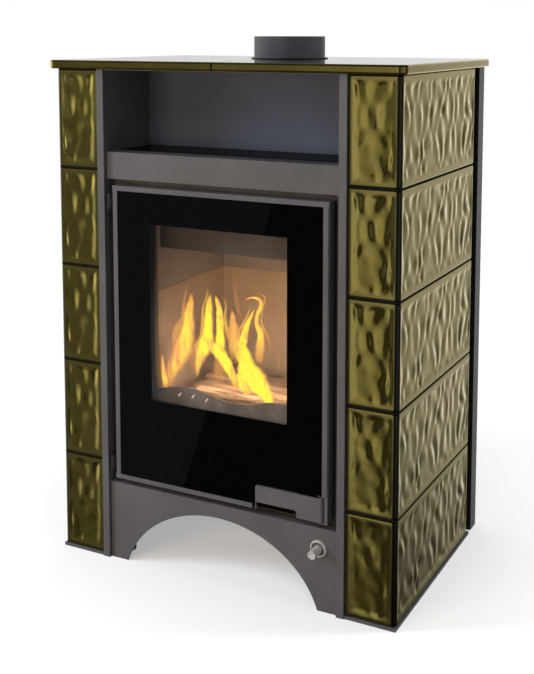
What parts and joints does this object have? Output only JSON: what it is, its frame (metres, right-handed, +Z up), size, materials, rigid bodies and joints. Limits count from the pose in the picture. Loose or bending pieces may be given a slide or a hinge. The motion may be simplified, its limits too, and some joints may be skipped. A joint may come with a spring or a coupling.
{
  "type": "tiled wood stove",
  "caption": "Free-standing wood stove with rippled olive corner tiles, a steel frame, a glass door, an open niche, a ceramic top and a round flue.",
  "frame": {"origin": "on the floor, under the centre of the stove's plan outline", "axes": "+X to the stove's right as its front is seen, +Y from the door to the back, +Z up"},
  "size_m": [0.763, 0.526, 1.0696],
  "materials": {
    "olive_glaze": "glossy transparent olive glaze over a hand-pressed rippled relief",
    "olive_top_glaze": "smooth glossy olive glaze",
    "anthracite_paint": "matt heat-proof anthracite paint",
    "firebox_steel": "heat-darkened steel plate",
    "cast_iron": "rough grey cast iron",
    "vermiculite": "pressed vermiculite board",
    "window_glass": "ceramic glass with a black printed border",
    "black_glaze": "glossy black glaze",
    "rope_seal": "glass-fibre rope and tape",
    "chrome": "polished chrome",
    "zinc_plate": "bright zinc-plated steel"
  },
  "bodies": {
    "root": {"air_box": "firebox_steel", "air_deflector": "firebox_steel", "air_rosette": "chrome", "arch_panel": "anthracite_paint", "ash_pan": "firebox_steel", "back_panel": "anthracite_paint", "baffle": "vermiculite", "base_plate": "firebox_steel", "firebox_floor": "firebox_steel", "firebox_front": "firebox_steel", "firebox_rear": "firebox_steel", "firebox_top": "firebox_steel", "flue_pipe": "anthracite_paint", "flue_ring": "anthracite_paint", "front_brackets": "anthracite_paint", "grate": "cast_iron", "hearth_plate": "cast_iron", "hinge_pins": "zinc_plate", "left_base_tray": "anthracite_paint", "left_firebox_side": "firebox_steel", "left_front_post": "anthracite_paint", "left_lining": "vermiculite", "left_rear_post": "anthracite_paint", "left_side_panel": "anthracite_paint", "left_tile_1": "olive_glaze", "left_tile_2": "olive_glaze", "left_tile_3": "olive_glaze", "left_tile_4": "olive_glaze", "left_tile_5": "olive_glaze", "left_top_slab": "olive_top_glaze", "levelling_feet": "zinc_plate", "log_guard": "cast_iron", "niche_liner": "anthracite_paint", "rear_air_duct": "firebox_steel", "rear_lining": "vermiculite", "right_base_tray": "anthracite_paint", "right_firebox_side": "firebox_steel", "right_front_post": "anthracite_paint", "right_lining": "vermiculite", "right_rear_post": "anthracite_paint", "right_side_panel": "anthracite_paint", "right_tile_1": "olive_glaze", "right_tile_2": "olive_glaze", "right_tile_3": "olive_glaze", "right_tile_4": "olive_glaze", "right_tile_5": "olive_glaze", "right_top_slab": "olive_top_glaze", "shelf_rail": "anthracite_paint", "shelf_slab": "black_glaze", "tile_seals": "rope_seal", "top_plate": "anthracite_paint"},
    "door": {"door_frame": "anthracite_paint", "door_glass": "window_glass", "glass_seal": "rope_seal", "door_trim": "anthracite_paint", "door_gasket": "rope_seal", "handle_pin": "zinc_plate"},
    "handle": {"handle": "anthracite_paint"},
    "air_control": {"air_knob": "chrome", "air_shutter": "firebox_steel"}
  },
  "joints": [
    {"name": "door_hinge", "type": "hinge", "parent": "root", "child": "door", "pos_m": [-0.244, -0.23205, 0.19], "axis": [0, 0, -1], "range_deg": [0, 110]},
    {"name": "handle_pivot", "type": "hinge", "parent": "door", "child": "handle", "pos_m": [0.222, -0.23455, 0.2], "axis": [0, 0, 1], "range_deg": [0, 35]},
    {"name": "air_slide", "type": "slide", "parent": "root", "child": "air_control", "axis": [0, -1, 0], "range_m": [0, 0.035]}
  ]
}
